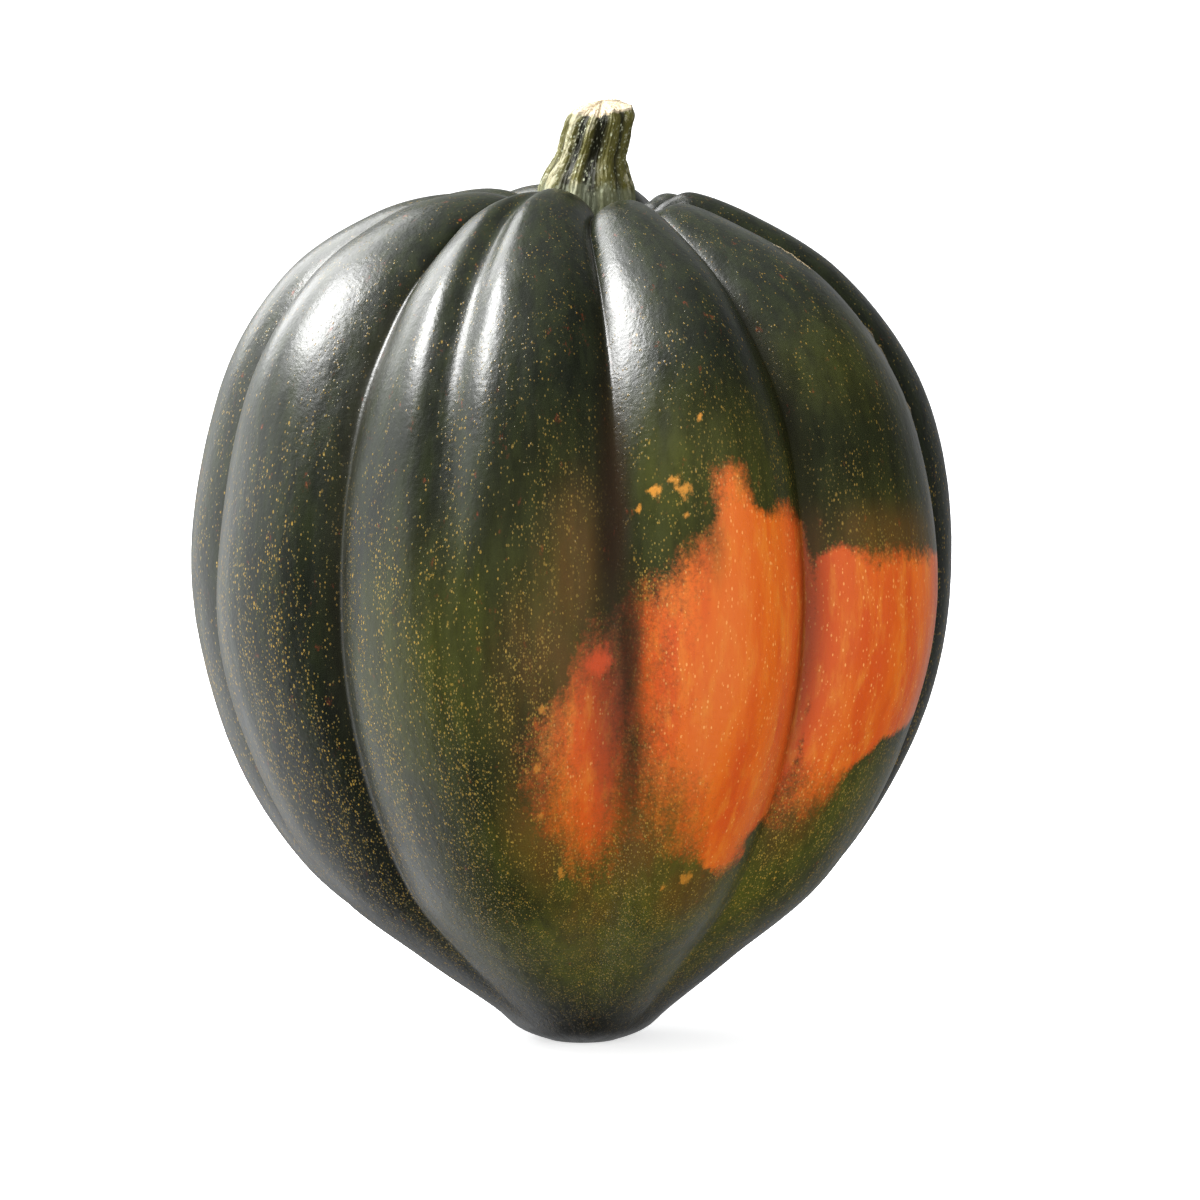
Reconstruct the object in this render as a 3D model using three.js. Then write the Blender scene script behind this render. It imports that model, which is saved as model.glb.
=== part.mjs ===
// An acorn squash standing on its blossom end: one ribbed fruit and the stub of its stem.
// Millimetres, +Z up, origin at the centre of the flat foot. The front of the fruit faces -Y.
import * as THREE from "three";

// Driving dimensions
const FRUIT_RADIUS = 62.6; // axis to the crest of a full rib
const FRUIT_HEIGHT = 140; // foot to the highest shoulder
const GROOVE_DEPTH = 6.6; // crests to the bottoms of the grooves, where these are deepest
const LOW_LEAN = -1.8; // how far along X the sections stand off the foot at the fruit's belly
const SHOULDER_LEAN = 2.6; // and how far the shoulders come back from there
const SHOULDER_BIAS = 0.06; // extra radius of the shoulder on the -X side, as a share of the outline's
const STEM_HEIGHT = 153.9; // foot to the middle of the stem's cut end
const STEM_RADIUS = 6.1; // half the stem's width at mid-height
const SEAT_GAP = 0.3; // clearance between the stem and the hollow that it sits in

// Mesh density
const COLUMNS_PER_RIB = 12;
const COLUMN_CROWDING = 0.08; // how strongly a rib's columns gather at its grooves
const FRUIT_ROWS = 42;
const STEM_COLUMNS = 60;
const STEM_ROWS = 16;

// Crest of a rib from the foot's rim up over the shoulder and down into the stem's hollow,
// as shares of the fruit's radius and height.
const CREST_OUTLINE = new THREE.SplineCurve([
  new THREE.Vector2(0.096, 0),
  new THREE.Vector2(0.169, 0.0135),
  new THREE.Vector2(0.245, 0.041),
  new THREE.Vector2(0.438, 0.105),
  new THREE.Vector2(0.695, 0.2),
  new THREE.Vector2(0.886, 0.335),
  new THREE.Vector2(0.987, 0.486),
  new THREE.Vector2(0.985, 0.64),
  new THREE.Vector2(0.901, 0.79),
  new THREE.Vector2(0.72, 0.907),
  new THREE.Vector2(0.495, 0.975),
  new THREE.Vector2(0.32, 1),
  new THREE.Vector2(0.208, 0.99),
  new THREE.Vector2(0.148, 0.962),
]);
const OUTLINE_SIZE = new THREE.Vector2(FRUIT_RADIUS, FRUIT_HEIGHT);
const HOLLOW_FLOOR = 0.95; // height of the hollow's floor, as a share of the fruit's height

// The ten ribs, each from its own groove to the next rib's, in degrees from the front towards +X.
// Sway is how many degrees that groove bows sideways at mid-height, and crease is the share of the
// outline where it turns from a soft valley into a sharp crease. Fullness is the rib's size against
// the outline, and rise is how many millimetres its shoulder stands above it.
const RIBS = [
  { from: -82, sway: 2, crease: 0.35, fullness: 1.0, rise: 0.3 },
  { from: -41, sway: 0.5, crease: 0.3, fullness: 0.985, rise: 1.3 },
  { from: 6, sway: 1.5, crease: 0.6, fullness: 0.985, rise: -0.7 },
  { from: 43.5, sway: -2, crease: 0.35, fullness: 1.01, rise: -1.6 },
  { from: 85, sway: 1, crease: 0.4, fullness: 1.018, rise: -0.2 },
  { from: 112, sway: -2, crease: 0.4, fullness: 1.0, rise: -0.8 },
  { from: 142, sway: 2, crease: 0.5, fullness: 0.99, rise: 0.7 },
  { from: 182, sway: -2, crease: 0.35, fullness: 1.0, rise: 0.4 },
  { from: 216, sway: 2, crease: 0.45, fullness: 0.985, rise: 0 },
  { from: 249, sway: 0, crease: 0.4, fullness: 1.01, rise: -0.4 },
];
// The wide rib is split in two over its shoulder by a shallow furrow. Its place across the rib goes
// from -1 to 1, with the crest at 0, and so does its width.
const TWIN_RIB = { index: 1, top: -0.18, bottom: 0.06, width: 0.17, depth: 2.6 };

const smoothstep = THREE.MathUtils.smoothstep;
const lerp = THREE.MathUtils.lerp;
const radians = THREE.MathUtils.degToRad;

// Depth of the grooves below the crests at share t of the outline: nothing at the foot and in the hollow.
function grooveDepth(t) {
  const shallower = 1 - 0.4 * smoothstep(t, 0.65, 0.85); // over the shoulders
  return GROOVE_DEPTH * smoothstep(t, 0.1, 0.5) * shallower * (1 - smoothstep(t, 0.9, 1));
}

// How round the bottom of a groove is: a soft valley near the foot, a crease over the shoulders.
function grooveSoftness(index, t) {
  const { crease } = RIBS[index % RIBS.length];
  return lerp(0.5, 0.05, smoothstep(t, crease - 0.2, crease));
}

// The fruit leans a little: where its section's centre stands at share t of the outline.
function sectionCentre(t) {
  return LOW_LEAN * smoothstep(t, 0.12, 0.3) + SHOULDER_LEAN * smoothstep(t, 0.78, 0.92);
}

// The shoulder is fuller on the -X side: share by which the radius there passes the outline's.
function shoulderBias(t) {
  return SHOULDER_BIAS * smoothstep(t, 0.58, 0.8) * (1 - smoothstep(t, 0.82, 0.95));
}

// Angle of a rib's groove, in radians; a number past the last rib comes round to the first one again.
function grooveAngle(index, t) {
  const turns = Math.floor(index / RIBS.length);
  const { from, sway } = RIBS[index % RIBS.length];
  return radians(from + 360 * turns + sway * Math.sin(Math.PI * t));
}

// A point of the skin: rib number, place across the rib from 0 to 1, and share t of the outline.
function skinPoint(rib, across, t) {
  const fromCrest = 2 * across - 1;
  const arch = Math.cos((fromCrest * Math.PI) / 2);
  const soft = grooveSoftness(across < 0.5 ? rib : rib + 1, t);
  const valley = (Math.hypot(arch, soft) - soft) / (Math.hypot(1, soft) - soft);
  const bulge = valley ** lerp(0.85, 0.5, smoothstep(t, 0.6, 0.85)); // flatter crests towards the stem
  let inward = grooveDepth(t) * (1 - bulge);
  inward -= RIBS[rib].rise * bulge * smoothstep(t, 0.65, 0.8) * (1 - smoothstep(t, 0.9, 1));
  if (rib === TWIN_RIB.index) {
    const furrow = lerp(TWIN_RIB.bottom, TWIN_RIB.top, smoothstep(t, 0.4, 0.65));
    const split = Math.exp(-(((fromCrest - furrow) / TWIN_RIB.width) ** 2));
    inward += TWIN_RIB.depth * split * smoothstep(t, 0.42, 0.6) * (1 - smoothstep(t, 0.78, 0.9));
  }
  const crest = CREST_OUTLINE.getPoint(t);
  const along = CREST_OUTLINE.getTangent(t).multiply(OUTLINE_SIZE).normalize();
  const fullness = lerp(1, RIBS[rib].fullness, Math.sin(Math.PI * t) * bulge);
  const angle = lerp(grooveAngle(rib, t), grooveAngle(rib + 1, t), across);
  const bias = 1 - shoulderBias(t) * Math.sin(angle);
  const radius = crest.x * FRUIT_RADIUS * fullness * bias - along.y * inward;
  const height = crest.y * FRUIT_HEIGHT + along.x * inward;
  const x = sectionCentre(t) + radius * Math.sin(angle);
  return new THREE.Vector3(x, -radius * Math.cos(angle), height);
}

// A closed body of columns round the axis. It starts as a plain lathed drum, whose points then move to
// the bottom's centre, to the rows of the grid, and to the top's centre.
function closedGrid(columns, rows, pointAt, bottom, top) {
  const drumPoint = (_, row) => new THREE.Vector2(row % (rows + 1) ? 1 : 0, row);
  const drum = Array.from({ length: rows + 2 }, drumPoint);
  const geometry = new THREE.LatheGeometry(drum, columns).rotateX(Math.PI / 2);
  const position = geometry.getAttribute("position");
  for (let column = 0; column <= columns; column++) {
    for (let row = 0; row < rows + 2; row++) {
      const isCap = row === 0 || row === rows + 1;
      const point = isCap ? (row === 0 ? bottom : top) : pointAt(column % columns, (row - 1) / (rows - 1));
      position.setXYZ(column * (rows + 2) + row, point.x, point.y, point.z);
    }
  }
  geometry.computeVertexNormals();
  return geometry;
}

function fruitGeometry() {
  const columns = RIBS.length * COLUMNS_PER_RIB;
  const floorHeight = HOLLOW_FLOOR * FRUIT_HEIGHT;
  const wallShare = 1 - 1 / (FRUIT_ROWS - 1); // the last row is the foot of the hollow's wall
  const pointAt = (column, rise) => {
    const rib = Math.floor(column / COLUMNS_PER_RIB);
    const share = (column % COLUMNS_PER_RIB) / COLUMNS_PER_RIB;
    const across = share - COLUMN_CROWDING * Math.sin(2 * Math.PI * share);
    const point = skinPoint(rib, across, Math.min(rise / wallShare, 1));
    if (rise > wallShare) point.z = floorHeight;
    return point;
  };
  const foot = new THREE.Vector3(0, 0, 0);
  const floor = new THREE.Vector3(sectionCentre(1), 0, floorHeight);
  return closedGrid(columns, FRUIT_ROWS, pointAt, foot, floor);
}

// The stem rises out of the hollow, flared at its seat and leaning a little towards +X.
const STEM_SEAT = HOLLOW_FLOOR * FRUIT_HEIGHT + SEAT_GAP;
const STEM_AXIS = new THREE.CatmullRomCurve3([
  new THREE.Vector3(0.8, 0, STEM_SEAT),
  new THREE.Vector3(0.8, 0, lerp(STEM_SEAT, STEM_HEIGHT, 0.4)),
  new THREE.Vector3(2, 0, lerp(STEM_SEAT, STEM_HEIGHT, 0.7)),
  new THREE.Vector3(3.5, -0.3, STEM_HEIGHT),
]);
const STEM_RIDGES = 10;
const RIDGE_HEIGHT = 0.07; // half a ridge's height, as a share of the stem's radius
const CUT_SLOPE = new THREE.Vector2(0.08, 0.14); // the cut end drops towards -X and towards the front
const CUT_DOME = 1; // and stands this much higher in its middle

function stemRadius(t) {
  const flare = 0.38 * (1 - smoothstep(t, 0.22, 0.62));
  return STEM_RADIUS * (1 + flare - 0.13 * smoothstep(t, 0.88, 1));
}

function stemGeometry() {
  const pointAt = (column, share) => {
    const centre = STEM_AXIS.getPoint(share);
    const angle = (2 * Math.PI * column) / STEM_COLUMNS;
    const ridge = 1 - RIDGE_HEIGHT * (1 - Math.cos(STEM_RIDGES * angle));
    const radius = stemRadius(share) * ridge;
    const point = new THREE.Vector3(radius * Math.sin(angle), -radius * Math.cos(angle), 0).add(centre);
    const slope = CUT_SLOPE.x * (point.x - centre.x) + CUT_SLOPE.y * (point.y - centre.y);
    point.z += slope * smoothstep(share, 0.5, 1);
    return point;
  };
  const cut = STEM_AXIS.getPoint(1).add(new THREE.Vector3(0, 0, CUT_DOME));
  return closedGrid(STEM_COLUMNS, STEM_ROWS, pointAt, STEM_AXIS.getPoint(0), cut);
}

function part(name, geometry, color, roughness) {
  const mesh = new THREE.Mesh(geometry, new THREE.MeshStandardMaterial({ color, roughness, metalness: 0 }));
  mesh.name = name;
  return mesh;
}

const squash = new THREE.Group();
squash.add(part("fruit", fruitGeometry(), 0x2c3626, 0.35));
squash.add(part("stem", stemGeometry(), 0x77733f, 0.8));

export default squash;
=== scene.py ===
# An acorn squash: the ribbed fruit and its dry stem stub, with the skin's colours and marks.
# Lengths inside the shape functions are millimetres, as in the CAD model; meshes are scaled to the
# CAD nodes' boxes, in metres. Angles run from the front (-Y) towards +X.
import math

import bpy
import numpy as np
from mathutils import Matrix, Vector


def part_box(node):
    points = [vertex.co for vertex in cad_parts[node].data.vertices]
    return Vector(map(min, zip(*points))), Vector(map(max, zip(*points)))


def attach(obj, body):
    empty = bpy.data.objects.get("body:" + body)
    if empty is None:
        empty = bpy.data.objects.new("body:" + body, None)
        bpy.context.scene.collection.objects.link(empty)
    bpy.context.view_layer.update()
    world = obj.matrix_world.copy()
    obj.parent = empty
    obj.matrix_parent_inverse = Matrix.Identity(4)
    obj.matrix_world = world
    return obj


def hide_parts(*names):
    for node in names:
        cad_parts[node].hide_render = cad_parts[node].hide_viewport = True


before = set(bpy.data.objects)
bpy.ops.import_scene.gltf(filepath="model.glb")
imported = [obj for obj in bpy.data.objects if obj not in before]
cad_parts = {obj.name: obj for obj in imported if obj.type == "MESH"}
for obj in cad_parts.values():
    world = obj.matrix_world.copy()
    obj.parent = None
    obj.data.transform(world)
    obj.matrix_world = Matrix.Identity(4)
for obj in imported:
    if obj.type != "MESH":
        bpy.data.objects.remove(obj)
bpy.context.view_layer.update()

# ---------------------------------------------------------------- camera
TARGET = np.array([0.00296, 0.0, 0.07271])
DISTANCE = 1.0967
ELEVATION = math.radians(6)

camera_data = bpy.data.cameras.new("camera")
camera_data.lens = 200
camera_data.sensor_width = 36
camera = bpy.data.objects.new("camera", camera_data)
camera.location = TARGET + DISTANCE * np.array([0, -math.cos(ELEVATION), math.sin(ELEVATION)])
camera.rotation_euler = (math.pi / 2 - ELEVATION, 0, 0)
bpy.context.scene.collection.objects.link(camera)
bpy.context.scene.camera = camera

# ---------------------------------------------------------------- shape of the fruit
FRUIT_RADIUS = 62.6
FRUIT_HEIGHT = 140.0
GROOVE_DEPTH = 6.6
LOW_LEAN, SHOULDER_LEAN, SHOULDER_BIAS = -1.8, 2.6, 0.06
CREST_OUTLINE = np.array([
    (0.096, 0), (0.169, 0.0135), (0.245, 0.041), (0.438, 0.105), (0.695, 0.2), (0.886, 0.335),
    (0.987, 0.486),
    (0.985, 0.64), (0.901, 0.79), (0.72, 0.907), (0.495, 0.975), (0.32, 1), (0.208, 0.99), (0.148, 0.962),
])
HOLLOW_FLOOR = 0.95
# groove angle, its sway, share of the outline where it turns into a crease, fullness and rise of the rib
RIBS = np.array([
    (-82, 2, 0.35, 1.0, 0.3),
    (-41, 0.5, 0.3, 0.985, 1.3),
    (6, 1.5, 0.6, 0.985, -0.7),
    (43.5, -2, 0.35, 1.01, -1.6),
    (85, 1, 0.4, 1.018, -0.2),
    (112, -2, 0.4, 1.0, -0.8),
    (142, 2, 0.5, 0.99, 0.7),
    (182, -2, 0.35, 1.0, 0.4),
    (216, 2, 0.45, 0.985, 0),
    (249, 0, 0.4, 1.01, -0.4),
])
TWIN_RIB, TWIN_TOP, TWIN_BOTTOM, TWIN_WIDTH, TWIN_DEPTH = 1, -0.18, 0.06, 0.17, 2.6

FINE_COLUMNS_PER_RIB = 44
SKIN_ROWS = 200
FOOT_RINGS = 8
WALL_ROWS = 4


def smoothstep(x, low, high):
    x = np.clip((x - low) / (high - low), 0, 1)
    return x * x * (3 - 2 * x)


def lerp(a, b, t):
    return a + (b - a) * t


def spline(points, t):
    """Uniform Catmull-Rom through the points, at shares t of it."""
    last = len(points) - 1
    place = np.clip(t, 0, 1) * last
    i = np.minimum(place.astype(int), last)
    w = (place - i)[:, None]
    p0, p1 = points[np.maximum(i - 1, 0)], points[i]
    p2, p3 = points[np.minimum(i + 1, last)], points[np.minimum(i + 2, last)]
    v0, v1 = (p2 - p0) / 2, (p3 - p1) / 2
    return ((2 * p1 - 2 * p2 + v0 + v1) * w + (-3 * p1 + 3 * p2 - 2 * v0 - v1)) * w * w + v0 * w + p1


def groove_depth(t):
    shallower = 1 - 0.4 * smoothstep(t, 0.65, 0.85)
    return GROOVE_DEPTH * smoothstep(t, 0.1, 0.5) * shallower * (1 - smoothstep(t, 0.9, 1))


def groove_softness(rib, t):
    crease = RIBS[rib % len(RIBS), 2]
    return lerp(0.5, 0.05, smoothstep(t, crease - 0.2, crease))


def section_centre(t):
    return LOW_LEAN * smoothstep(t, 0.12, 0.3) + SHOULDER_LEAN * smoothstep(t, 0.78, 0.92)


def shoulder_bias(t):
    return SHOULDER_BIAS * smoothstep(t, 0.58, 0.8) * (1 - smoothstep(t, 0.82, 0.95))


def groove_angle(rib, t):
    turns = rib // len(RIBS)
    place, sway = RIBS[rib % len(RIBS), 0], RIBS[rib % len(RIBS), 1]
    return np.radians(place + 360 * turns + sway * np.sin(np.pi * t))


def skin_points(rib, across, t):
    """Points of the skin, their angles, and how deep each lies in a groove. The arguments broadcast."""
    from_crest = 2 * across - 1
    arch = np.cos(from_crest * np.pi / 2)
    soft = groove_softness(np.where(across < 0.5, rib, rib + 1), t)
    valley = (np.hypot(arch, soft) - soft) / (np.hypot(1, soft) - soft)
    bulge = valley ** lerp(0.85, 0.5, smoothstep(t, 0.6, 0.85))
    inward = groove_depth(t) * (1 - bulge)
    inward = inward - RIBS[rib, 4] * bulge * smoothstep(t, 0.65, 0.8) * (1 - smoothstep(t, 0.9, 1))
    furrow = lerp(TWIN_BOTTOM, TWIN_TOP, smoothstep(t, 0.4, 0.65))
    split = np.exp(-(((from_crest - furrow) / TWIN_WIDTH) ** 2)) * (rib == TWIN_RIB)
    inward = inward + TWIN_DEPTH * split * smoothstep(t, 0.42, 0.6) * (1 - smoothstep(t, 0.78, 0.9))
    t_flat = t.ravel()
    crest = spline(CREST_OUTLINE, t_flat)
    ahead, behind = np.minimum(t_flat + 1e-4, 1), np.maximum(t_flat - 1e-4, 0)
    along = (spline(CREST_OUTLINE, ahead) - spline(CREST_OUTLINE, behind)) * [FRUIT_RADIUS, FRUIT_HEIGHT]
    along /= np.linalg.norm(along, axis=1)[:, None]
    fullness = lerp(1, RIBS[rib, 3], np.sin(np.pi * t) * bulge)
    angle = lerp(groove_angle(rib, t), groove_angle(rib + 1, t), across)
    bias = 1 - shoulder_bias(t) * np.sin(angle)
    radius = crest[:, 0] * FRUIT_RADIUS * fullness * bias - along[:, 1] * inward
    height = crest[:, 1] * FRUIT_HEIGHT + along[:, 0] * inward
    x = section_centre(t) + radius * np.sin(angle)
    points = np.stack([x, -radius * np.cos(angle), height], axis=-1)
    return points, angle, 1 - bulge


def normals(points):
    """Unit normals of a grid that closes on itself along its first axis."""
    around = np.roll(points, -1, axis=0) - np.roll(points, 1, axis=0)
    up = np.gradient(points, axis=1)
    n = np.cross(around, up)
    return n / np.maximum(np.linalg.norm(n, axis=-1, keepdims=True), 1e-9)


def ripple(rng, angle, length, waves, turns, reach):
    """A smooth random height field: waves round the axis (whole turns) and along the length in mm."""
    total = np.zeros(np.broadcast(angle, length).shape)
    # each wave draws its turns, its length and direction, and its phase, in that order
    for _ in range(waves):
        k = rng.integers(*turns)
        m = 2 * np.pi / rng.uniform(*reach) * rng.choice([-1, 1])
        total += np.sin(k * angle + m * length + rng.uniform(0, 2 * np.pi))
    return total / math.sqrt(waves / 2)


def grid_mesh(name, points, bottom, top):
    """A closed mesh from a grid of points[column, row], with a fan at each end."""
    columns, rows, _ = points.shape
    vertices = np.concatenate([points.reshape(-1, 3), [bottom, top]])
    c, r = np.meshgrid(np.arange(columns), np.arange(rows - 1), indexing="ij")
    here, beside = c * rows + r, (c + 1) % columns * rows + r
    quads = np.stack([here, beside, beside + 1, here + 1], axis=-1).reshape(-1, 4)
    ring = np.arange(columns) * rows
    after = np.roll(ring, -1)
    low, high = len(vertices) - 2, len(vertices) - 1
    fans = [(int(b), int(a), low) for a, b in zip(ring, after)]
    fans += [(int(a) + rows - 1, int(b) + rows - 1, high) for a, b in zip(ring, after)]
    mesh = bpy.data.meshes.new(name)
    mesh.from_pydata(vertices.tolist(), [], quads.tolist() + fans)
    mesh.shade_smooth()
    mesh.update()
    return mesh


def fit_to_box(mesh, node):
    """Scales the mesh, in mm, to the CAD node's box, in metres."""
    low, high = (np.array(corner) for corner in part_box(node))
    flat = np.empty(len(mesh.vertices) * 3)
    mesh.vertices.foreach_get("co", flat)
    v = flat.reshape(-1, 3)
    v = (v - v.min(0)) / (v.max(0) - v.min(0)) * (high - low) + low
    mesh.vertices.foreach_set("co", v.ravel())
    mesh.update()


def add_attribute(mesh, name, grid, ends):
    """Stores a value per vertex: a grid as grid_mesh takes it, and the values of its two end points."""
    width = grid.shape[2] if grid.ndim == 3 else 1
    values = np.concatenate([grid.reshape(-1, width), np.reshape(ends, (2, width))]).astype(np.float32)
    kind, field = ("FLOAT", "value") if width == 1 else ("FLOAT_VECTOR", "vector")
    mesh.attributes.new(name, kind, "POINT").data.foreach_set(field, values.ravel())


def signed_distance(polygon, x, y):
    """Distance of points to a closed outline, positive inside it."""
    polygon = np.array(polygon, float)
    nearest = np.full(x.shape, np.inf)
    inside = np.zeros(x.shape, bool)
    for (ax, ay), (bx, by) in zip(polygon, np.roll(polygon, -1, axis=0)):
        ex, ey = bx - ax, by - ay
        share = np.clip(((x - ax) * ex + (y - ay) * ey) / (ex * ex + ey * ey), 0, 1)
        nearest = np.minimum(nearest, np.hypot(x - ax - share * ex, y - ay - share * ey))
        crosses = (ay > y) != (by > y)
        inside ^= crosses & (x < ax + ex * (y - ay) / (ey if ey else 1e-9))
    return np.where(inside, nearest, -nearest)


# ---------------------------------------------------------------- marks on the skin
# Orange patches where the fruit lay on the ground: outlines as (angle in degrees, height in mm).
PATCHES = {
    "middle": [
        (22.5, 91), (23.5, 97.5), (26, 98.5), (28.5, 93), (31, 91.5), (36, 92), (41.5, 89),
        (43.5, 80), (44, 61), (43.5, 50), (40.5, 42.5), (34, 38.5), (36.5, 35.8), (32, 34.2),
        (28, 34), (24.5, 36.5), (20.5, 44), (15, 52), (11.5, 64), (12, 75), (18, 83), (21, 87),
    ],
    "right": [
        (43, 84), (46, 85.8), (49, 85), (52, 83), (58, 83.5), (66, 82.5), (79, 82), (80.5, 66),
        (79, 58), (68, 56), (59, 53.5), (54.5, 50), (51, 46.5), (45.5, 45.5), (43.5, 54),
        (42.5, 70),
    ],
    "left": [
        (2.5, 69.5), (5, 71), (7, 69.5), (8, 64), (8.5, 54), (7.5, 44), (5, 39), (2, 38),
        (-1.5, 43), (-2.5, 51), (-2, 58), (0, 64),
    ],
}
# Where an edge of a patch fades out instead of ending sharply: (angle, height, reach in mm, softness in mm)
SOFT_EDGES = [
    (14, 70, 20, 7), (17, 46, 16, 7), (-3, 50, 18, 6), (5, 36, 12, 6), (47, 44, 10, 5),
    (20, 84, 9, 4), (10, 56, 18, 3), (25, 98, 8, 2.2), (36, 92, 7, 1.6), (33, 35, 7, 1.5),
    (60, 83, 16, 1.6), (1, 62, 6, 3.5),
]
# Small golden flecks round the patches: (angle, height, radius in mm)
FLECKS = [
    (13.5, 95.8, 1.0), (16.4, 97.4, 1.0), (17.7, 95.9, 1.1), (11.2, 92.6, 0.6), (17.6, 92.3, 0.6),
    (21, 107.3, 0.4), (-4.5, 62, 0.9), (-6, 52, 0.8), (-5, 44, 1.0), (-2, 34, 1.0), (23, 33, 1.2),
    (-8, 56, 0.5), (19, 31, 0.7),
]
RED_TOP = (5, 69.0, 2.0)  # the red spot at the head of the left patch, in the same terms
# Painted shade in dark brown spots, mostly along the crease between the orange patches: (angle, height,
# reach round, reach up, strength)
PAINTED_SHADE_SPOTS = [
    (7, 92, 3.4, 22, 0.95), (9.6, 70, 2.4, 16, 0.8), (10.6, 52, 2.2, 16, 0.6), (22, 88, 2, 9, 0.35),
]
# Ground tint, of olive and then of brown: (angle, height, reach round, reach up, strength)
OLIVE = [
    (25, 94, 24, 20, 0.5), (55, 76, 30, 30, 0.45), (12, 36, 44, 24, 1.0), (6, 20, 52, 15, 1.0),
    (-18, 60, 22, 34, 0.4), (30, 24, 40, 20, 1.0), (55, 38, 34, 22, 0.8), (60, 112, 26, 12, 0.25),
    (0, 78, 16, 30, 0.5),
]
BROWN = [
    (1, 84, 7, 16, 0.6), (-4, 64, 10, 20, 0.65), (11, 56, 6, 26, 1.0), (48, 86, 30, 7, 0.6),
    (14, 40, 16, 12, 0.8), (46, 42, 6, 10, 0.8), (24, 31, 12, 8, 0.6), (-4, 44, 9, 16, 0.8),
    (4, 28, 10, 12, 0.5),
]
# Corky scars: (angle, height, length up in mm, width in mm)
SCARS = [(74, 116, 5, 1.2), (75, 107, 7, 1.4), (77, 99, 5, 1.0), (67, 130, 3, 1.2), (160, 96, 15, 1.3)]
MM_PER_DEGREE = FRUIT_RADIUS * math.pi / 180


def degrees_from(angle, centre):
    return (angle - centre + 180) % 360 - 180


def soft_spots(spots, angle, height):
    """The strongest of several soft spots at each point."""
    best = np.zeros(np.broadcast(angle, height).shape)
    for centre, level, reach_round, reach_up, strength in spots:
        far = np.hypot(degrees_from(angle, centre) / reach_round, (height - level) / reach_up)
        best = np.maximum(best, strength * (1 - smoothstep(far, 0.2, 1.2)))
    return best


def patch_fields(angle, height):
    """How far inside an orange patch each point lies, in mm, and how softly the nearest edge fades."""
    mid_angle = (angle + 180) % 360 - 180
    depth = np.full(angle.shape, -30.0)
    for outline in PATCHES.values():
        flat = [(a * MM_PER_DEGREE, h) for a, h in outline]
        depth = np.maximum(depth, signed_distance(flat, mid_angle * MM_PER_DEGREE, height))
    blur = np.full(angle.shape, 0.5)
    for centre, level, reach, softness in SOFT_EDGES:
        far = np.hypot(degrees_from(angle, centre) * MM_PER_DEGREE, height - level)
        blur = np.maximum(blur, softness * (1 - smoothstep(far, 0.4 * reach, reach)))
    return depth, blur


def round_spots(spots, angle, height):
    """How deep in a round spot each point lies: 1 at its middle, and 0 from twice its radius on."""
    best = np.zeros(angle.shape)
    for centre, level, radius in spots:
        far = np.hypot(degrees_from(angle, centre) * MM_PER_DEGREE, height - level)
        best = np.maximum(best, 1 - far / (2 * radius))
    return best


def scar_field(angle, height):
    best = np.zeros(angle.shape)
    for centre, level, length, width in SCARS:
        far = np.hypot(degrees_from(angle, centre) * MM_PER_DEGREE / width, (height - level) / length)
        best = np.maximum(best, 1 - smoothstep(far, 0.3, 1.3))
    return best


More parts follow.
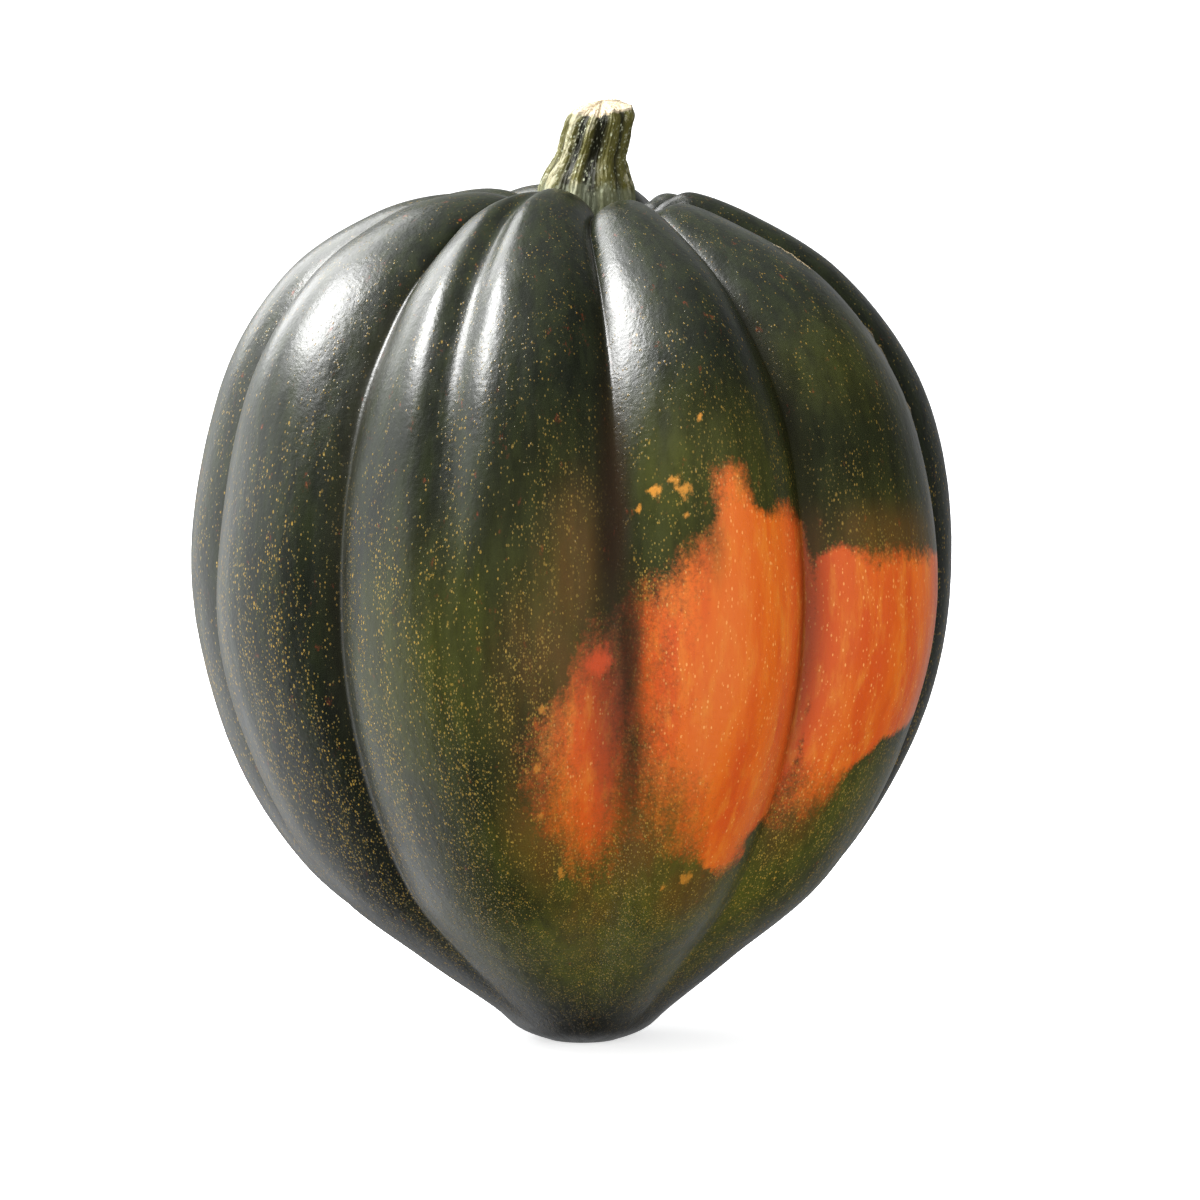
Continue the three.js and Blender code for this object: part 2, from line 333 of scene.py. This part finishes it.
def make_fruit():
    rng = np.random.default_rng(7)
    columns = len(RIBS) * FINE_COLUMNS_PER_RIB
    rib = np.repeat(np.arange(len(RIBS)), FINE_COLUMNS_PER_RIB)[:, None]
    share = np.tile(np.arange(FINE_COLUMNS_PER_RIB) / FINE_COLUMNS_PER_RIB, len(RIBS))[:, None]
    across = share - 0.08 * np.sin(2 * np.pi * share)
    t = np.linspace(0, 1, SKIN_ROWS)[None, :]
    skin, angle, in_groove = skin_points(rib, across, t)

    crest = spline(CREST_OUTLINE, t.ravel()) * [FRUIT_RADIUS, FRUIT_HEIGHT]
    length = np.concatenate([[0], np.cumsum(np.linalg.norm(np.diff(crest, axis=0), axis=1))])[None, :]

    # Waves of the grown surface, over the body of the fruit
    quiet = smoothstep(t, 0.04, 0.14) * (1 - smoothstep(t, 0.93, 1))
    lumps = 0.2 * ripple(rng, angle, length, 30, (3, 14), (35, 110))
    fibres = 0.012 * ripple(rng, angle, length, 30, (30, 75), (40, 160))
    pebbles = 0.008 * ripple(rng, angle, length, 60, (60, 110), (4, 9))
    height = skin[..., 2]
    scars = scar_field(np.degrees(angle), height)
    warts = scars * (0.25 + 0.15 * ripple(rng, angle, length, 24, (90, 200), (1.5, 4)))
    slender = (np.hypot(skin[..., 0], skin[..., 1]) / FRUIT_RADIUS).clip(0, 1) ** 1.5
    skin = skin + normals(skin) * ((lumps + fibres + pebbles) * quiet * slender + warts)[..., None]

    # The foot: a corky blossom scar, slightly hollow, inside the rim that it stands on
    rim = skin[:, :1]
    inner = np.linspace(0.1, 1, FOOT_RINGS, endpoint=False)[None, :, None]
    foot = rim * inner
    wrinkles = np.abs(ripple(rng, angle[:, :1], inner[..., 0] * 6, 20, (2, 12), (2, 5)))
    cork = 0.35 * (1 - inner[..., 0] ** 4) + 0.12 * wrinkles
    foot[..., 2] = cork * (1 - inner[..., 0] ** 3)
    # The wall of the hollow that the stem sits in
    wall = np.repeat(skin[:, -1:], WALL_ROWS, axis=1)
    drop = np.linspace(0, 1, WALL_ROWS + 1)[None, 1:]
    wall[..., 2] = lerp(wall[..., 2], HOLLOW_FLOOR * FRUIT_HEIGHT, drop)

    points = np.concatenate([foot, skin, wall], axis=1)
    floor_middle = (section_centre(np.ones(1))[0], 0, HOLLOW_FLOOR * FRUIT_HEIGHT)
    mesh = grid_mesh("fruit_skin", points, (0, 0, 0.4), floor_middle)

    def extended(field):
        """A field of the skin carried on over the foot and the wall."""
        field = np.broadcast_to(field, angle.shape)
        over_foot = np.repeat(field[:, :1], FOOT_RINGS, 1)
        over_wall = np.repeat(field[:, -1:], WALL_ROWS, 1)
        return np.concatenate([over_foot, field, over_wall], 1)

    all_angle, all_height = extended(angle), points[..., 2]
    past_skin = np.concatenate([
        np.linspace(-6, -0.5, FOOT_RINGS), np.zeros(SKIN_ROWS), np.linspace(0.5, 3, WALL_ROWS),
    ])
    all_length = extended(length) + past_skin[None, :]
    across_radius = np.hypot(points[..., 0] - extended(section_centre(t)), points[..., 1])
    wrap = np.sqrt(np.maximum(across_radius, 1) * FRUIT_RADIUS)
    skin_at = np.stack([wrap * np.sin(all_angle), -wrap * np.cos(all_angle), all_length], axis=-1) / 1000
    degrees = np.degrees(all_angle)
    depth, blur = patch_fields(degrees, all_height)
    blossom_scar = (1 - smoothstep(across_radius, 4, 6.5)) * (all_height < 3)
    corky = np.maximum(extended(scars), blossom_scar)
    ends = {"skin_at": np.zeros((2, 3)), "corky": (1, 0)}
    fields = {
        "skin_at": skin_at,
        "patch_depth": depth,
        "patch_blur": blur,
        "olive": soft_spots(OLIVE, degrees, all_height),
        "brown": soft_spots(BROWN, degrees, all_height),
        # painted shade spots, mostly along the crease between the patches
        "painted_shade": soft_spots(PAINTED_SHADE_SPOTS, degrees, all_height),
        "fleck": round_spots(FLECKS, degrees, all_height),
        "red_top": round_spots([RED_TOP], degrees, all_height),
        "corky": np.clip(corky, 0, 1),
        "in_groove": extended(in_groove * groove_depth(t) / GROOVE_DEPTH),
        "height": all_height / FRUIT_HEIGHT,
    }
    for name, field in fields.items():
        add_attribute(mesh, name, field, ends.get(name, (0, 0)))
    fit_to_box(mesh, "fruit")
    return mesh


# ---------------------------------------------------------------- shape of the stem
STEM_HEIGHT = 153.9
STEM_RADIUS = 6.1
STEM_SEAT = HOLLOW_FLOOR * FRUIT_HEIGHT + 0.3
STEM_AXIS = np.array([
    (0.8, 0, STEM_SEAT), (0.8, 0, lerp(STEM_SEAT, STEM_HEIGHT, 0.4)),
    (2, 0, lerp(STEM_SEAT, STEM_HEIGHT, 0.7)), (3.5, -0.3, STEM_HEIGHT),
])
CUT_SLOPE = (0.08, 0.14)
CUT_DOME = 1.0
# Ridges of the stem: angle in degrees, half-width in degrees, height in mm, paleness
STEM_RIDGES = [
    (-52, 13, 0.9, 0.95), (-14, 8, 0.75, 0.7), (30, 14, 0.8, 0.25), (66, 12, 0.8, 0.5), (98, 13, 0.8, 0.5),
    (138, 14, 0.9, 0.7), (176, 12, 0.8, 0.4), (214, 14, 0.9, 0.8), (250, 11, 0.8, 0.5),
    (280, 12, 0.8, 0.35),
]
STEM_COLUMNS = 300
STEM_ROWS = 150
CUT_RINGS = 30


def make_stem():
    rng = np.random.default_rng(19)
    angle = (np.arange(STEM_COLUMNS) * 2 * np.pi / STEM_COLUMNS)[:, None]
    t = np.linspace(0, 1, STEM_ROWS)[None, :]
    axis = spline(STEM_AXIS, t.ravel())
    degrees = np.degrees(angle) + 3 * np.sin(2 * np.pi * t * 0.9) + 9 * (t - 0.5)
    ridge = np.zeros(degrees.shape)
    pale = np.zeros(degrees.shape)
    for place, half_width, rise, paleness in STEM_RIDGES:
        crown = np.exp(-np.abs(degrees_from(degrees, place) / half_width) ** 2.4)
        ridge = np.maximum(ridge, rise * crown)
        pale = np.maximum(pale, paleness * crown)
    flare = 0.38 * (1 - smoothstep(t, 0.22, 0.62))
    body = STEM_RADIUS * (1 + flare - 0.13 * smoothstep(t, 0.88, 1)) - 0.85
    fibres = 0.07 * ripple(rng, angle, t * 20, 40, (28, 80), (12, 60))
    fibres = fibres + 0.05 * ripple(rng, angle, t * 20, 40, (10, 60), (2, 6))
    lumps = 0.12 * ripple(rng, angle, t * 20, 16, (3, 9), (6, 20))
    radius = body + ridge * (1 + 0.25 * flare) + fibres + lumps
    points = np.stack([radius * np.sin(angle), -radius * np.cos(angle), np.zeros(radius.shape)], axis=-1)
    ragged = 0.2 * ripple(rng, angle, np.zeros(1), 14, (3, 22), (5, 9))
    slope = CUT_SLOPE[0] * points[..., 0] + CUT_SLOPE[1] * points[..., 1]
    points[..., 2] += slope * smoothstep(t, 0.5, 1) + ragged * smoothstep(t, 0.9, 1)
    points += axis[None]
    # The cut end: pith domed in the middle, with fibre ends standing proud
    rim = points[:, -1:]
    middle = axis[-1] + [0, 0, CUT_DOME]
    share = np.linspace(1, 0, CUT_RINGS + 1, endpoint=False)[1:][None, :]
    cut = lerp(middle, rim, share[..., None])
    dome = (1 - share ** 2) * 0.55 - (1 - share) * 0.35
    grain = 0.07 * ripple(rng, angle, share * 6, 40, (6, 40), (0.8, 3))
    cut[..., 2] += dome + grain * np.minimum(1, 4 * (1 - share))
    grid = np.concatenate([points, cut], axis=1)
    mesh = grid_mesh("stem_stub", grid, axis[0], middle + [0, 0, 0.2])

    def extended(field, over_cut):
        field = np.broadcast_to(field, radius.shape)
        return np.concatenate([field, np.broadcast_to(over_cut, (STEM_COLUMNS, CUT_RINGS))], axis=1)

    stem_length = STEM_HEIGHT - STEM_SEAT
    length = extended(t * stem_length, stem_length + (1 - share) * 6)
    all_angle = np.broadcast_to(angle, length.shape)
    wrap = extended(np.full(radius.shape, 6.0), 6 * share)
    stem_at = np.stack([wrap * np.sin(all_angle), -wrap * np.cos(all_angle), length], axis=-1) / 1000
    add_attribute(mesh, "stem_at", stem_at, np.zeros((2, 3)))
    add_attribute(mesh, "ridge", extended(ridge, 0.5), (0, 0.5))
    add_attribute(mesh, "pale", extended(pale, 1), (0, 1))
    add_attribute(mesh, "cut", extended(smoothstep(t, 0.955, 0.985), 1), (0, 1))
    add_attribute(mesh, "up", extended(t, 1), (0, 1))
    fit_to_box(mesh, "stem")
    return mesh


# ---------------------------------------------------------------- materials
class Graph:
    """Short ways to add shader nodes to one material or world."""

    def __init__(self, tree):
        self.tree = tree
        tree.nodes.clear()

    def node(self, kind, inputs=None, **settings):
        made = self.tree.nodes.new(kind)
        for key, value in settings.items():
            setattr(made, key, value)
        for key, value in (inputs or {}).items():
            self.feed(made.inputs[key], value)
        return made

    def feed(self, socket, value):
        if isinstance(value, bpy.types.NodeSocket):
            self.tree.links.new(value, socket)
        else:
            socket.default_value = value

    def field(self, name):
        return self.node("ShaderNodeAttribute", attribute_name=name).outputs["Fac"]

    def vector_field(self, name):
        return self.node("ShaderNodeAttribute", attribute_name=name).outputs["Vector"]

    def maths(self, operation, *values, clamp=False):
        made = self.node("ShaderNodeMath", operation=operation, use_clamp=clamp)
        for socket, value in zip(made.inputs, values):
            self.feed(socket, value)
        return made.outputs[0]

    def ramp(self, value, low, high, to_low=0.0, to_high=1.0, smooth=True):
        kind = "SMOOTHSTEP" if smooth else "LINEAR"
        return self.node("ShaderNodeMapRange", {
            "Value": value, "From Min": low, "From Max": high, "To Min": to_low, "To Max": to_high,
        }, interpolation_type=kind).outputs["Result"]

    def stretched(self, vector, x, y, z):
        return self.node("ShaderNodeVectorMath", {0: vector, 1: (x, y, z)}, operation="MULTIPLY").outputs[0]

    def noise(self, vector, scale, detail=3.0, roughness=0.55):
        return self.node("ShaderNodeTexNoise", {
            "Vector": vector, "Scale": scale, "Detail": detail, "Roughness": roughness,
        }).outputs["Fac"]

    def dots(self, vector, scale, size_low, size_high, presence):
        """Scattered spots, and a random tone for each. Presence is the share of cells with a spot,
        and a spot's radius, in cells, is drawn between the two sizes."""
        cell = self.node("ShaderNodeTexVoronoi", {
            "Vector": vector, "Scale": scale, "Randomness": 1.0,
        })
        split = self.node("ShaderNodeSeparateColor", {"Color": cell.outputs["Color"]})
        size = self.ramp(split.outputs[0], 0, 1, size_low, size_high, smooth=False)
        near = self.maths("DIVIDE", cell.outputs["Distance"], size)
        spot = self.ramp(near, 0.45, 1.0, 1.0, 0.0)
        there = self.maths("LESS_THAN", split.outputs[1], presence)
        vivid = self.ramp(split.outputs[2], 0, 1, 0.25, 1.0, smooth=False)
        return self.maths("MULTIPLY", self.maths("MULTIPLY", spot, there), vivid), split.outputs[0]

    def mix(self, share, a, b, blend="MIX"):
        made = self.node("ShaderNodeMix", data_type="RGBA", blend_type=blend)
        self.feed(made.inputs[0], share)
        self.feed(made.inputs[6], a if isinstance(a, bpy.types.NodeSocket) else (*a, 1))
        self.feed(made.inputs[7], b if isinstance(b, bpy.types.NodeSocket) else (*b, 1))
        return made.outputs[2]

    def mix_value(self, share, a, b):
        made = self.node("ShaderNodeMix", data_type="FLOAT")
        for index, value in ((0, share), (2, a), (3, b)):
            self.feed(made.inputs[index], value)
        return made.outputs[0]

    def jitter(self, noise, amount):
        """A noise, moved to lie round zero and scaled."""
        return self.maths("MULTIPLY", self.maths("SUBTRACT", noise, 0.5), amount)

    def bump(self, height, distance, normal=None):
        inputs = {"Height": height, "Distance": distance, "Strength": 1.0}
        if normal is not None:
            inputs["Normal"] = normal
        return self.node("ShaderNodeBump", inputs).outputs["Normal"]


def new_graph(name):
    material = bpy.data.materials.new(name)
    material.use_nodes = True
    return material, Graph(material.node_tree)


BLACK_GREEN = (0.0055, 0.0072, 0.0030)
DEEP_GREEN = (0.0115, 0.0150, 0.0046)
OLIVE_GREEN = (0.088, 0.092, 0.008)
BROWN_SKIN = (0.14, 0.058, 0.008)
ORANGE = (0.68, 0.130, 0.006)
RED_ORANGE = (0.56, 0.060, 0.005)
YELLOW_ORANGE = (0.72, 0.23, 0.02)
GOLD_SPECKLE = (0.46, 0.27, 0.035)
GREEN_SPECKLE = (0.12, 0.14, 0.03)
FLECK_GOLD = (0.50, 0.20, 0.02)
PALE_SPECKLE = (0.95, 0.50, 0.14)
CORK = (0.36, 0.27, 0.14)
DARK_CORK = (0.16, 0.12, 0.06)
# near-black painted shade, for the creases and round the foot
PAINTED_SHADE_BLACK = (0.010, 0.009, 0.004)
# dark brown painted shade, mostly along the crease between the patches
PAINTED_SHADE_BROWN = (0.022, 0.011, 0.004)


def skin_material():
    material, g = new_graph("squash_skin")
    at = g.vector_field("skin_at")
    streaky = g.stretched(at, 1, 1, 0.22)
    dashed = g.stretched(at, 1, 1, 0.5)
    olive, brown = g.field("olive"), g.field("brown")
    depth, blur = g.field("patch_depth"), g.field("patch_blur")
    corky, in_groove, height = g.field("corky"), g.field("in_groove"), g.field("height")
    painted_shade, fleck, red_top = g.field("painted_shade"), g.field("fleck"), g.field("red_top")

    # Dark green with soft vertical streaks, warmer where the ground tint reaches
    broad = g.noise(at, 45, 4)
    streaks = g.noise(streaky, 420, 4, 0.6)
    colour = g.mix(g.ramp(streaks, 0.35, 0.7), BLACK_GREEN, DEEP_GREEN)
    olive_share = g.maths("MULTIPLY", olive, g.ramp(broad, 0.25, 0.6, 0.55, 1.0))
    olive_share = g.maths("MULTIPLY", olive_share, g.ramp(streaks, 0.25, 0.65, 0.6, 1.0))
    colour = g.mix(olive_share, colour, OLIVE_GREEN)
    brown_share = g.maths("MULTIPLY", brown, g.ramp(g.noise(streaky, 160, 4), 0.3, 0.62, 0.25, 1.0))
    colour = g.mix(brown_share, colour, BROWN_SKIN)

    # Speckles: a dense fine grain and scattered larger dots, in streaks, denser low down and where
    # the ground tint is
    low_density = g.ramp(height, 0.2, 0.9, 1.1, 0.22)
    density = g.maths("ADD", low_density, g.maths("MULTIPLY", olive, 0.45))
    clumps = g.ramp(g.noise(streaky, 120, 3), 0.32, 0.66, 0.3, 1.3)
    strands = g.ramp(g.noise(g.stretched(at, 1, 1, 0.12), 420, 3), 0.35, 0.62, 0.35, 1.25)
    presence = g.maths("MULTIPLY", density, g.maths("MULTIPLY", clumps, strands))
    fine, fine_tone = g.dots(g.stretched(at, 1, 1, 0.6), 3000, 0.25, 0.6, presence)
    large, large_tone = g.dots(dashed, 1500, 0.15, 0.38, g.maths("MULTIPLY", presence, 0.35))
    vivid = g.ramp(height, 0.3, 0.85, 0.85, 0.4)
    for spots, tone in ((fine, fine_tone), (large, large_tone)):
        speckle = g.mix(tone, GREEN_SPECKLE, GOLD_SPECKLE)
        colour = g.mix(g.maths("MULTIPLY", spots, vivid), colour, speckle)
    crumbs = g.noise(dashed, 900, 4, 0.7)
    fleck_share = g.ramp(g.maths("ADD", fleck, g.jitter(crumbs, 1.6)), 0.35, 0.75)
    colour = g.mix(g.maths("MULTIPLY", fleck_share, 0.85), colour, FLECK_GOLD)

    # Orange patches: the edge is broken up by noise, finely where it is sharp and widely where it fades
    wander = g.maths("SUBTRACT", g.noise(at, 190, 5, 0.65), 0.5)
    scatter = g.maths("SUBTRACT", g.noise(dashed, 520, 4, 0.7), 0.5)
    edge = g.maths("ADD", depth, g.maths("MULTIPLY", wander, 3.5))
    grit = g.maths("SUBTRACT", g.noise(at, 1800, 3, 0.7), 0.5)
    for noise, per_blur in ((scatter, 1.8), (grit, 2.0)):
        amount = g.maths("ADD", g.maths("MULTIPLY", blur, per_blur), 1.0)
        edge = g.maths("ADD", edge, g.maths("MULTIPLY", noise, amount))
    inside = g.maths("DIVIDE", edge, g.maths("ADD", blur, 0.15))
    orange_share = g.ramp(inside, -1.3, 1.0)
    red_streaks = g.ramp(g.noise(g.stretched(at, 1, 1, 0.16), 150, 3), 0.40, 0.68)
    # Painted crease shade: the orange turns red and darker down in the creases
    red_crease_shade = g.ramp(in_groove, 0.25, 0.8, 0, 0.8)
    reddish = g.maths("MAXIMUM", g.maths("MULTIPLY", red_streaks, 0.75), red_crease_shade)
    orange = g.mix(reddish, ORANGE, RED_ORANGE)
    yellow_streaks = g.ramp(g.noise(streaky, 480, 4, 0.65), 0.45, 0.75)
    orange = g.mix(g.maths("MULTIPLY", yellow_streaks, 0.6), orange, YELLOW_ORANGE)
    pale, _ = g.dots(dashed, 2300, 0.2, 0.5, g.maths("MULTIPLY", clumps, 0.4))
    orange = g.mix(g.maths("MULTIPLY", pale, 0.6), orange, PALE_SPECKLE)
    colour = g.mix(orange_share, colour, orange)

    # Painted contact shade: the skin round the blossom scar, dark of its own, is darkened to nearly black
    # towards the floor
    colour = g.mix(g.ramp(height, 0.015, 0.075, 0.75, 0), colour, PAINTED_SHADE_BLACK)

    # Painted shade: creases are darkened towards black, and spots mostly along the crease between the
    # patches towards dark brown, but for a red spot at the head of the left patch
    colour = g.mix(g.ramp(in_groove, 0.6, 1.0, 0, 0.6), colour, PAINTED_SHADE_BLACK)
    painted_shade_share = g.maths("MULTIPLY", painted_shade, g.ramp(scatter, -0.25, 0.15, 0.75, 1.0))
    colour = g.mix(painted_shade_share, colour, PAINTED_SHADE_BROWN)
    red_share = g.ramp(g.maths("ADD", red_top, g.maths("MULTIPLY", scatter, 1.6)), 0.2, 0.8)
    colour = g.mix(g.maths("MULTIPLY", red_share, 0.85), colour, RED_ORANGE)

    # Corky scars, crumbling at their edges
    crumble = g.noise(at, 900, 4, 0.7)
    cork_share = g.ramp(g.maths("ADD", corky, g.jitter(crumble, 1.6)), 0.5, 0.72)
    cork = g.mix(g.noise(at, 1500, 3), DARK_CORK, CORK)
    colour = g.mix(cork_share, colour, cork)

    # Wax: finely dimpled gloss, duller in streaks
    roughness = g.ramp(g.noise(streaky, 300, 4), 0.3, 0.7, 0.29, 0.39)
    roughness = g.mix_value(cork_share, roughness, 0.8)
    dimples = g.noise(at, 1100, 2, 0.5)
    pebbles = g.noise(dashed, 420, 3, 0.55)
    normal = g.bump(pebbles, 0.00007)
    normal = g.bump(dimples, 0.00005, normal)
    normal = g.bump(fine, 0.00003, normal)
    normal = g.bump(g.maths("MULTIPLY", cork_share, crumble), 0.0006, normal)

    shader = g.node("ShaderNodeBsdfPrincipled", {
        "Base Color": colour, "Roughness": roughness, "Normal": normal, "IOR": 1.45,
    })
    g.node("ShaderNodeOutputMaterial", {"Surface": shader.outputs[0]})
    return material


STEM_DARK = (0.009, 0.009, 0.002)
STEM_OLIVE = (0.075, 0.068, 0.008)
STEM_CREAM = (0.27, 0.25, 0.15)
STEM_PITH = (0.46, 0.39, 0.28)
STEM_FLECK = (0.38, 0.40, 0.27)
STEM_ROOT = (0.15, 0.165, 0.10)
STEM_DARK_PITH = (0.36, 0.27, 0.14)


def stem_material():
    material, g = new_graph("squash_stem")
    at = g.vector_field("stem_at")
    fibrous = g.stretched(at, 1, 1, 0.14)
    ridge, pale, cut, up = g.field("ridge"), g.field("pale"), g.field("cut"), g.field("up")
    fibres = g.noise(fibrous, 1500, 5, 0.65)
    mottle = g.noise(at, 500, 4, 0.6)
    crown = g.ramp(g.maths("ADD", ridge, g.maths("MULTIPLY", fibres, 0.5)), 0.25, 0.85)
    colour = g.mix(crown, STEM_DARK, STEM_OLIVE)
    dashed = g.stretched(at, 1, 1, 0.6)
    patches = g.jitter(g.noise(dashed, 900, 5, 0.7), 3.6)
    ends = g.maths("ADD", g.ramp(up, 0.7, 1.0, 0, 0.3), g.ramp(up, 0.3, 0.55, 0.25, 0))
    cream_share = g.ramp(g.maths("ADD", g.maths("ADD", pale, ends), patches), 0.6, 1.05)
    colour = g.mix(g.maths("MULTIPLY", cream_share, 0.9), colour, STEM_CREAM)
    presence = g.ramp(g.noise(at, 420, 3), 0.35, 0.65, 0.3, 0.95)
    flecks, _ = g.dots(dashed, 2400, 0.22, 0.55, presence)
    colour = g.mix(g.maths("MULTIPLY", flecks, 0.85), colour, STEM_FLECK)
    root = g.ramp(g.maths("ADD", up, g.maths("MULTIPLY", mottle, 0.5)), 0.5, 0.62, 0.6, 0)
    colour = g.mix(root, colour, STEM_ROOT)
    pith = g.mix(g.ramp(g.noise(at, 900, 4, 0.7), 0.4, 0.75), STEM_PITH, STEM_DARK_PITH)
    colour = g.mix(cut, colour, pith)
    normal = g.bump(fibres, 0.0004)
    normal = g.bump(mottle, 0.0003, normal)
    shader = g.node("ShaderNodeBsdfPrincipled", {
        "Base Color": colour, "Roughness": g.ramp(mottle, 0.3, 0.7, 0.55, 0.85), "Normal": normal,
    })
    g.node("ShaderNodeOutputMaterial", {"Surface": shader.outputs[0]})
    return material


# ---------------------------------------------------------------- the pieces
def place(mesh, material, node, slot):
    piece = bpy.data.objects.new(mesh.name, mesh)
    bpy.context.scene.collection.objects.link(piece)
    mesh.materials.append(material)
    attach(piece, "root")
    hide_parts(node)


place(make_fruit(), skin_material(), "fruit", "skin")
place(make_stem(), stem_material(), "stem", "stem")

# ---------------------------------------------------------------- floor and light
floor_mesh = bpy.data.meshes.new("floor")
FLOOR_REACH = 12
corners = [(x * FLOOR_REACH, y * FLOOR_REACH, 0) for x, y in ((-1, -1), (1, -1), (1, 1), (-1, 1))]
floor_mesh.from_pydata(corners, [], [(0, 1, 2, 3)])
floor = bpy.data.objects.new("floor", floor_mesh)
bpy.context.scene.collection.objects.link(floor)
floor_material, floor_graph = new_graph("pale_floor")
floor_shader = floor_graph.node("ShaderNodeBsdfPrincipled", {
    "Base Color": (0.9, 0.9, 0.9, 1), "Roughness": 0.9,
    "Emission Color": (1, 1, 1, 1), "Emission Strength": 0.65,
})
floor_graph.node("ShaderNodeOutputMaterial", {"Surface": floor_shader.outputs[0]})
floor_mesh.materials.append(floor_material)
floor.visible_glossy = False
floor.visible_diffuse = False


def light(name, kind, direction, distance=1.0, in_reflections=True, **settings):
    """A lamp that looks at the middle of the fruit from a direction."""
    data = bpy.data.lights.new(name, kind)
    for key, value in settings.items():
        setattr(data, key, value)
    lamp = bpy.data.objects.new(name, data)
    towards = np.array(direction) / np.linalg.norm(direction)
    lamp.location = TARGET + towards * distance
    lamp.rotation_euler = Vector(towards).to_track_quat("Z", "Y").to_euler()
    lamp.visible_camera = False
    lamp.visible_glossy = in_reflections
    bpy.context.scene.collection.objects.link(lamp)


light("softbox_left", "AREA", (-0.62, -0.11, 0.78), 1.1,
      shape="RECTANGLE", size=0.66, size_y=0.42, energy=36)
light("panel_behind_left", "AREA", (-0.54, 0.58, 0.6), 1.1,
      shape="RECTANGLE", size=0.55, size_y=0.85, energy=9)
light("fill_front", "SUN", (0.32, -0.92, 0.10),
      in_reflections=False, angle=math.radians(110), energy=3.8)

# The room that the skin reflects is bright on the left and faint behind and above
world = bpy.data.worlds.new("studio")
bpy.context.scene.world = world
world.use_nodes = True
w = Graph(world.node_tree)
direction = w.node("ShaderNodeTexCoord").outputs["Generated"]
axes = w.node("ShaderNodeSeparateXYZ", {"Vector": direction})
flat_squared = w.maths("SUBTRACT", 1.0, w.maths("POWER", axes.outputs["Z"], 2.0))
flat = w.maths("MAXIMUM", w.maths("SQRT", flat_squared), 0.05)
side = w.maths("SUBTRACT", w.maths("MULTIPLY", axes.outputs["Y"], 0.35), axes.outputs["X"])
left = w.ramp(w.maths("DIVIDE", side, flat), 0.60, 1.02, 0.0, 1.8)
left = w.maths("MULTIPLY", left, w.ramp(axes.outputs["Z"], -0.97, -0.7))
behind = w.ramp(axes.outputs["Y"], 0.1, 1.0, 0.0, 0.35)
above = w.ramp(axes.outputs["Z"], 0.7, 0.98, 0.0, 0.5)
glow = w.maths("ADD", w.maths("ADD", left, behind), w.maths("ADD", above, 0.10))
room = w.node("ShaderNodeBackground", {"Color": (0.96, 0.98, 1, 1), "Strength": glow})
backdrop = w.node("ShaderNodeBackground", {"Color": (1, 1, 1, 1), "Strength": 1.0})
seen = w.node("ShaderNodeLightPath").outputs["Is Camera Ray"]
blend = w.node("ShaderNodeMixShader", {0: seen, 1: room.outputs[0], 2: backdrop.outputs[0]})
w.node("ShaderNodeOutputWorld", {"Surface": blend.outputs[0]})

bpy.context.scene.view_settings.view_transform = "Standard"

bpy.context.view_layer.update()
